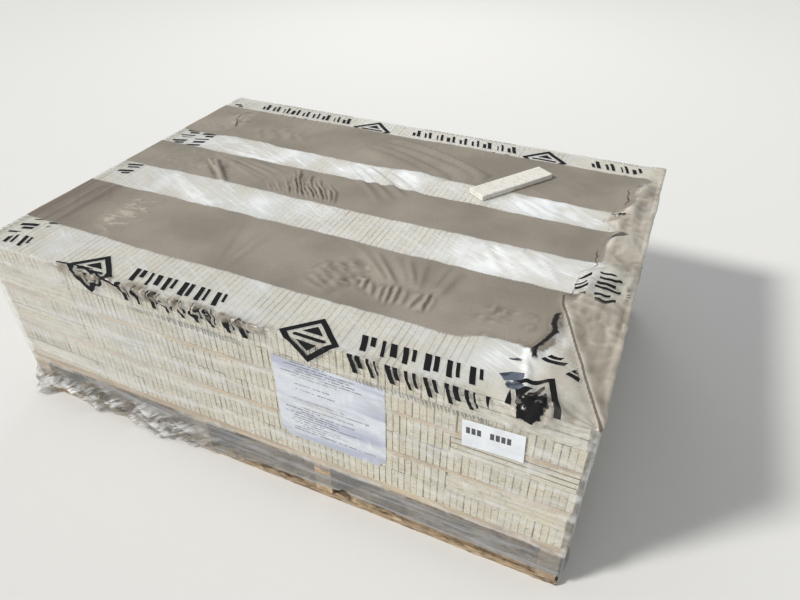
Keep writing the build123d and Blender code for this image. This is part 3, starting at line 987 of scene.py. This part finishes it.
def film_material():
    n = Nodes("film")
    names = "dust mud haze hollow crest stain grey side blot crinkle glint rag".split()
    dust, mud, haze, hollow, crest, stain, grey, side, blot, crinkle, glint, rag = map(n.attribute, names)
    fine, jagged, cloud = n.noise(260, 2), n.noise(90, 3), n.noise(7, 3, distortion=0.6)
    depth = (n.split(n.place, "XYZ")[1] + WIDTH / 2) / LENGTH

    def shaken(value, noise, amount):
        return value + (noise - 0.5) * amount

    def line(name, half_width, low, high, wobble):
        """A line across the top, where an attribute passes through 0, from one place along Y to another."""
        away = abs(shaken(n.attribute(name), jagged, wobble))
        span = n.ramp(depth, low, low + 0.008) * n.ramp(depth, high, high + 0.008, 1.0, 0.0)
        return n.ramp(away, half_width * 0.6, half_width * 1.4, 1.0, 0.0) * span

    # Fine creases, crooked on the top and level on the sides, with painted shade and painted highlights
    crooked = n.noise(24, 3, distortion=0.9)
    level = n.noise(1.0, 3, n.stretched(3.5, 3.5, 48), distortion=0.8)
    wrinkles = n.mix_number(side, crooked, level)
    hollow = hollow | n.ramp(wrinkles, 0.44, 0.32) * crinkle * n.mix_number(side, 0.5, 0.9)
    crest = crest | n.ramp(wrinkles, 0.57, 0.7) * crinkle
    # Folds side by side, with painted shade on their steep side and a painted highlight on the other
    part, fold_share = n.attribute("fold").part(), n.attribute("fold_share")
    hollow = hollow | n.ramp(part, 0.72, 0.86) * n.ramp(part, 0.95, 1.0, 0.9, 0.0) * fold_share
    crest = crest | n.ramp(part, 0.3, 0.6) * n.ramp(part, 0.66, 0.76, 1.0, 0.0) * fold_share * 0.45
    # Dried silt, browner in streaks at the near band's left end; painted shade in hollows, highlights on
    # crests
    brown = n.ramp(n.noise(1.0, 2, n.stretched(60, 2.5, 10)), 0.42, 0.6, 0.15, 0.9)
    silt = n.layers(
        n.mix(n.ramp(n.noise(4, 4), 0.33, 0.67), (142, 134, 123), (163, 154, 142)),
        (n.ramp(fine, 0.45, 0.7, 0.0, 0.28), (116, 106, 95)), (stain * brown, (124, 113, 104)),
        (crinkle * 0.6, (176, 167, 153)), (hollow * 0.85, (80, 70, 60)), (crest * 0.6, (190, 181, 167)),
        # Painted highlights along the curled folds in the near dust
        (n.ramp(shaken(glint, jagged, 0.9), 0.35, 1.0, 0.0, 0.7), (198, 190, 176)),
    )
    # Thin wet mud, darker in the crumples along the front's edge: painted shade in their hollows, with mud
    # gathered there too, and painted highlights on their crests
    tan = n.layers(
        n.mix(n.ramp(cloud, 0.35, 0.65), (208, 199, 183), (170, 161, 146)),
        (stain * 0.9, n.mix(n.ramp(jagged, 0.3, 0.7), (128, 118, 104), (170, 159, 143))),
        (hollow * (stain * 0.4 + 0.45), (84, 73, 62)), (crest * 0.6, (220, 212, 199)),
    )
    wet = n.ramp(shaken(mud, fine, 0.4), 0.15, 0.85)
    # Milky streaks, slanting on the top and level on the sides, partly painted sheen, and fibres in the rags,
    # painted as lit and shaded strips
    narrow = n.ramp(n.noise(1.0, 3, n.slanted((0, 0, -0.45), (9, 80, 60)), distortion=0.8), 0.46, 0.8)
    side_streaks = n.ramp(level, 0.35, 0.75)
    streaks = n.mix_number(side, narrow * 0.6 + n.ramp(cloud, 0.4, 0.66) * 0.4, side_streaks)
    milky = haze * (streaks * n.mix_number(side, 0.75, 0.3) + 0.7) | crest * side * 0.45
    fibre = n.noise(1.0, 4, n.slanted((0, -0.55, 0), (9, 36, 62)), distortion=0.9)
    rag_light_and_shade = n.ramp(fibre, 0.38, 0.62)
    veil = n.layers(
        n.mix(streaks * 0.7, (248, 248, 243), (240, 245, 253)),
        # Painted shade over the openings of the pallet, in level streaks
        (grey, n.mix(side_streaks, (122, 127, 131), (184, 187, 191))),
        (rag, n.mix(rag_light_and_shade, (116, 116, 115), (246, 246, 243))),
        # Painted shade in the film's hollows, deeper in the rags
        (hollow * (rag * 0.45 + 0.3), (104, 101, 94)),
    )
    # The print where no silt covers it, the crushed wad, the scrap, the tears, painted shade lines along the
    # folds (with silt in them) and the ribbon with a painted sheen
    solid = n.ramp(shaken(dust, fine, 0.5), 0.3, 0.65)
    covered = solid | n.ramp(mud, 0.55, 1.0, 0.0, 0.75)
    ink = print_mask(n) * (1.0 - covered * 0.95) | n.ramp(shaken(blot, jagged, 0.7), 0.4, 0.5)
    scrap = n.ramp(shaken(n.attribute("scrap"), jagged, 0.005), -0.0006, 0.0006)
    # Dark lines at the folds and the tear: painted shade, with silt gathered in them
    seam = line("seam", 0.0017, 0.232, 0.715, 0.003) * n.ramp(cloud, 0.44, 0.52)
    marks = line("crease", 0.0026, -0.02, 0.228, 0.002) | line("crease", 0.0034, 0.56, 0.638, 0.006) | seam
    ribbon = line("ribbon", 0.0068, 0.083, 0.184, 0.012)
    colour = n.layers(
        n.mix(wet, veil, tan), (solid, silt), (ink, (17, 17, 19)),
        (scrap, n.mix(n.ramp(crooked, 0.4, 0.6), (54, 62, 74), (98, 107, 120))), (marks * 0.85, (84, 73, 62)),
        # The ribbon, with painted sheen in streaks
        (ribbon, n.mix(n.ramp(narrow, 0.3, 0.8), (30, 28, 27), (100, 90, 78))),
    )
    # More opaque over the openings, where the shade is painted
    alpha = n.maths("ADD", milky, 0.1, clamp=True) | grey * (side_streaks * 0.25 + 0.55)
    alpha = n.mix_number(rag, alpha, rag_light_and_shade * 0.4 + 0.5)
    # Opaque where wet mud, silt, print, the scrap, the dark fold lines and the ribbon lie; partly in the
    # painted hollow shade
    for share in (wet * 0.9, hollow * 0.35, solid, ink, scrap, marks, ribbon):
        alpha = alpha | share
    n.shader.inputs["IOR"].default_value = 1.4
    height = n.mix_number(rag, wrinkles * (crinkle * 0.9 + 0.1), fibre * 3.5)
    return n.finish(colour, n.mix_number(solid | ink, 0.26, 0.88), n.bump(height, 0.004, 0.9), alpha)


def film_looks(flat, side_of, relief):
    """The numbers from 0 to 1 that the film's material reads at each point."""
    x, y = flat.T
    u, v = x / LENGTH, y / LENGTH
    on_top, by_edge, front = (side_of < 0) * 1.0, (side_of < 1) * 1.0, side_of == 0
    fall = fall_of(flat, side_of)
    # Mud: the bag at the right end, the strip along the front's top edge, the wad beside the corner, the hem
    beyond = smooth(-0.01, 0.03, across(flat, BAG_LINE)) * on_top
    corner = np.where(v < 0.25, 1 - smooth(-0.012, 0.012, across(flat, CREASES)), 0)
    strip = bell(y + 0.006 + 0.01 * noise(x, y, 0.07, 80), 0.024) * by_edge
    strip *= smooth(0.12, 0.19, u) * (1 - 0.45 * smooth(0.5, 0.6, u)) * (1 - 0.8 * smooth(0.85, 0.9, u))
    wad = wad_share(flat, side_of)
    hem = smooth(TOP - 0.05, TOP - 0.034, fall + 0.008 * noise(x, y, 0.03, 89)) * smooth(0.3, 0.42, u) * front
    mud = 0.85 + 0.3 * rough_noise(x, y, 0.12, 81) - 0.3 * corner
    mud -= 0.5 * patch(flat, (0.95, 0.29), (0.04, 0.05))
    mud = mud * beyond + strip * np.clip(0.75 + 0.9 * rough_noise(x, y, 0.035, 82), 0, 1.2)
    hem_mud = hem * np.clip(0.55 + 0.9 * noise(x, y, 0.025, 98), 0, 0.9)
    mud = np.max([mud, 0.5 * bell(x - 0.01, 0.03) * on_top, 0.7 * wad, hem_mud], axis=0)
    near_end = (1 - smooth(0.08, 0.1, u)) * (1 - smooth(0.25, 0.3, v)) * on_top
    # Milky film, with painted highlights along the fans of folds and the fold under the ribbon
    haze = 0.44 + 0.16 * rough_noise(x, y, 0.12, 83) + patches(flat, TOP_HAZE) + 0.45 * sheen_folds(flat)
    haze = (haze + bell(path_distance(flat, PALE_FOLD), 0.0065)) * on_top
    front_haze = 0.33 * (1 - smooth(0.15, 0.8, u)) + 0.04 + 0.14 * rough_noise(x, 3 * y, 0.15, 84)
    front_haze *= 1 - 0.75 * patch(flat, (0.64, -0.126), (0.105, 0.085), 0.15)
    front_haze *= 1 - 0.6 * smooth(TOP - 0.175, TOP - 0.15, -y)
    front_haze += 0.2 * patch(flat + (0, 0.21), (0.25, 0), (0.05, 0.025), 0.6)
    front_haze += 0.25 * patch(flat, (0.95, -0.015), (0.1, 0.025), 0.5)
    haze += np.where(front, front_haze, 0) + (side_of > 0) * (0.28 + 0.15 * rough_noise(x, y, 0.2, 85))
    # Painted shade over the pallet's openings, the film darkened as if the inside were dark; rags at the left
    opening = smooth(TOP - 0.135, TOP - 0.12, fall) * (side_of >= 0)
    ragged = smooth(TOP - 0.115, TOP - 0.07, fall + 0.012 * noise(x, y, 0.08, 87)) * front
    ragged *= 1 - smooth(0.32, 0.46, u)
    grey = opening * (0.85 - 0.35 * ragged) * np.where(front, 0.25 + 0.75 * smooth(0.08, 0.16, u), 1)
    # Dark places
    wad_ink = 0.48 + 0.55 * crumple(x, y, 0.018, 46)
    blot = np.max([
        patch(flat, (0.918, 0.006), (0.02, 0.019), 0.35) * by_edge * wad_ink,
        0.45 * patch(flat, (0.945, 0.499), (0.02, 0.01), 0.3) * on_top,
        0.8 * bell(path_distance(flat, FRONT_TEAR), 0.0035) * by_edge,
    ], axis=0)
    # Fine creases, and where hollows get painted shade and crests painted highlights
    close = np.clip(patches(flat, CLOSE_MESH, 0.4) + beyond + 3 * strip + (side_of >= 0), 0, 1)
    crinkle = 0.35 * beyond + 0.8 * strip + 0.35 * ragged + patches(flat, TOP_CRINKLES) * on_top
    threads = 0.2 + 0.26 * np.clip(noise(x, y, 0.1, 86), -0.5, 1) + 0.45 * smooth(0.72, 0.84, u)
    crinkle += np.where(front & (fall > 0.045), threads, 0) * (1 - ragged)
    return {
        "dust": dust_share(flat, on_top), "mud": mud, "haze": haze + 0.12 * ragged,
        "hollow": bends(relief, 1) * close, "crest": bends(relief, -1) * close,
        "stain": np.maximum(near_end, np.clip(1.3 * strip + 0.2 * wad + hem, 0, 1)), "grey": grey,
        "side": 1 - on_top, "blot": blot, "crinkle": crinkle, "glint": scatter(flat, *GLINTS) * on_top,
        "rag": ragged * 0.85, "fold_share": close_folds(flat)[1] * on_top,
    }


def film_lines(flat, side_of):
    """The distances and counts that the film's material reads at each point."""
    s, t, fade = print_places(flat, side_of)
    seam = across(flat, BAG_LINE) + 0.006 * noise(*flat.T, 0.022, 88)
    scrap = np.max([depth_inside(flat, corners) for corners in SCRAPS], axis=0)
    on_top = {
        "seam": (seam, 1.0), "crease": (across(flat, CREASES), 1.0), "ribbon": (across(flat, RIBBON), 1.0),
        "scrap": (scrap, -1.0),
    }
    lines = {name: np.where(side_of < 0, values, elsewhere) for name, (values, elsewhere) in on_top.items()}
    return lines | {"print_s": s, "print_t": t, "print_fade": fade, "fold": close_folds(flat)[0]}


def build_film():
    points, outward, flat, side_of, faces = hood_grid()
    relief = hood_relief(flat, side_of)
    points = points + outward * relief[:, None]
    points[:, 2] = np.maximum(points[:, 2], 0.0008)
    # A hole torn in the front, by the left corner
    hole = np.hypot((flat[:, 0] / LENGTH - 0.046) / 0.02, (points[:, 2] / LENGTH - 0.018) / 0.013)
    torn = np.where(side_of == 0, 1.5 - hole - 0.25 * noise(*flat.T, 0.02, 99), 0)
    faces = faces[torn[faces].min(axis=1) < 0.5]
    piece = piece_from("film_wrap", points, faces, film_material(), smooth_faces=True)
    for name, values in film_looks(flat, side_of, relief).items():
        point_values(piece, name, np.clip(values, 0, 1))
    for name, values in film_lines(flat, side_of).items():
        point_values(piece, name, values)
    keep(piece, "film_hood")


# Papers
LABEL_TILT = math.radians(3)


def document_material():
    """White paper with grey rules broken up like lines of small print, and level streaks of painted glare."""
    n = Nodes("document_sheet")
    low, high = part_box("document_sheet")
    x, _, z = n.split(n.place, "XYZ")
    along = (x - low.x) / (high.x - low.x)
    rows = (high.z - z) / 0.0084
    chance = n.chances(rows.whole())
    mark = (along > chance[0] * 0.18 + 0.07) * (along < chance[1] * 0.55 + 0.4)
    mark = mark * (abs(rows.part() - 0.5) < 0.2) * (chance[2] > 0.38) * (rows < 28.0)
    mark = mark * n.ramp(n.noise(1.0, 1, n.stretched(260, 1, 119)), 0.4, 0.46)
    # Light and bluish level streaks in the paper: painted glare from the film over it
    cloud = n.noise(1.0, 3, n.stretched(4, 1, 26), distortion=0.6)
    paper = n.mix(n.ramp(cloud, 0.38, 0.62), (218, 222, 231), (178, 184, 204))
    return n.finish(n.mix(mark * 0.9, paper, (72, 76, 90)), 0.75, n.bump(cloud, 0.003, 0.5))


def label_material():
    """White label stock with two groups of plain black blocks."""
    n = Nodes("pallet_label")
    middle = tuple(centre_of(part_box("pallet_label")) * (1, 0, 1))
    x, _, z = n.split(n.slanted((0, -LABEL_TILT, 0), middle=middle), "XYZ")

    def blocks(start, count):
        share = (x - start) / 0.0117
        return (share.part() < 0.74) * share.within(0.0, count)

    mark = (blocks(-0.057, 3) | blocks(-0.006, 4)) * z.within(0.0, 0.018)
    soft = n.noise(30, 3)
    colour = n.mix(n.ramp(soft, 0.3, 0.7), (236, 239, 242), (222, 226, 232))
    return n.finish(n.mix(mark * 0.92, colour, (34, 34, 36)), 0.45, n.bump(soft, 0.002, 0.4))


def paper_sheet(name, node, material, steps, waves, lift, turn=0.0, round_corners=0.0):
    """A sheet of paper in a node's place, a little wavy, with its corners lifted."""
    low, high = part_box(node)
    middle = centre_of((low, high))
    cosine, sine = math.cos(turn), math.sin(turn)
    spread_x, spread_z = high.x - low.x, high.z - low.z
    width = (spread_x * cosine - spread_z * sine) / math.cos(2 * turn)
    height = (spread_z * cosine - spread_x * sine) / math.cos(2 * turn)
    u, v = np.meshgrid(np.linspace(-1, 1, steps + 1), np.linspace(-1, 1, steps + 1), indexing="ij")
    pull = smooth(0.86, 1.0, np.abs(u)) * smooth(0.8, 1.0, -v) * round_corners
    x, z = u * width / 2 - np.sign(u) * pull, v * height / 2 + pull
    wave = waves * (ridges(0.25 * x + middle[0], z, 0.05, 7) + 0.5 * noise(x, z, 0.06, 8))
    curl = lift * (np.clip(np.abs(u) - 0.55, 0, 1) * np.clip(-v - 0.35, 0, 1)) ** 1.5 * 4
    out = 0.0002 + np.clip(wave + curl, 0, 1)
    points = middle + np.stack([x * cosine - z * sine, -out, x * sine + z * cosine], -1)
    faces = sheet_faces(np.arange(u.size).reshape(u.shape))
    piece = piece_from(name, points.reshape(-1, 3), faces, material, smooth_faces=True)
    keep(piece, node)


def build_papers():
    paper_sheet("document_page", "document_sheet", document_material(), 60, 0.0008, 0.0,
                round_corners=0.012)
    paper_sheet("label_tag", "pallet_label", label_material(), 24, 0.0004, 0.003, LABEL_TILT)


# Stage, light and camera
def lamp(name, kind, aim, place=(0, 0, 0), **settings):
    light = bpy.data.lights.new(name, kind)
    for setting, value in settings.items():
        setattr(light, setting, value)
    holder = put(name, light)
    holder.location = place
    holder.rotation_euler = Vector(aim).to_track_quat("-Z", "Y").to_euler()


def build_stage():
    corners = [(-30, -30, 0), (30, -30, 0), (30, 30, 0), (-30, 30, 0)]
    piece_from("floor", corners, [(0, 1, 2, 3)], Nodes("floor").finish((236, 235, 232), 0.9))
    lamp("key", "SUN", (0.75, 0.66, -0.78), angle=math.radians(9), energy=2.65, color=(1.0, 0.985, 0.96))
    lamp("sheen", "AREA", (1.6, -4.2, -2.8), (-1.6, 4.2, 3.2), shape="DISK", size=2.6, energy=30)
    world = bpy.data.worlds.new("studio")
    world.use_nodes = True
    background = world.node_tree.nodes["Background"]
    background.inputs["Color"].default_value = (0.95, 0.98, 1.0, 1)
    background.inputs["Strength"].default_value = 0.4
    bpy.context.scene.world = world


def build_camera():
    right, up = Vector(CAMERA_RIGHT), -Vector(CAMERA_DOWN)
    turn = Matrix((right, up, right.cross(up))).transposed()
    lens = bpy.data.cameras.new("camera")
    lens.lens = CAMERA_LENS
    lens.sensor_width = 36
    holder = put("camera", lens)
    holder.matrix_world = Matrix.Translation(CAMERA_PLACE) @ turn.to_4x4()
    bpy.context.scene.camera = holder


build_camera()
build_bricks()
build_pallet()
build_film()
build_papers()
build_stage()
bpy.context.scene.view_settings.view_transform = "Standard"
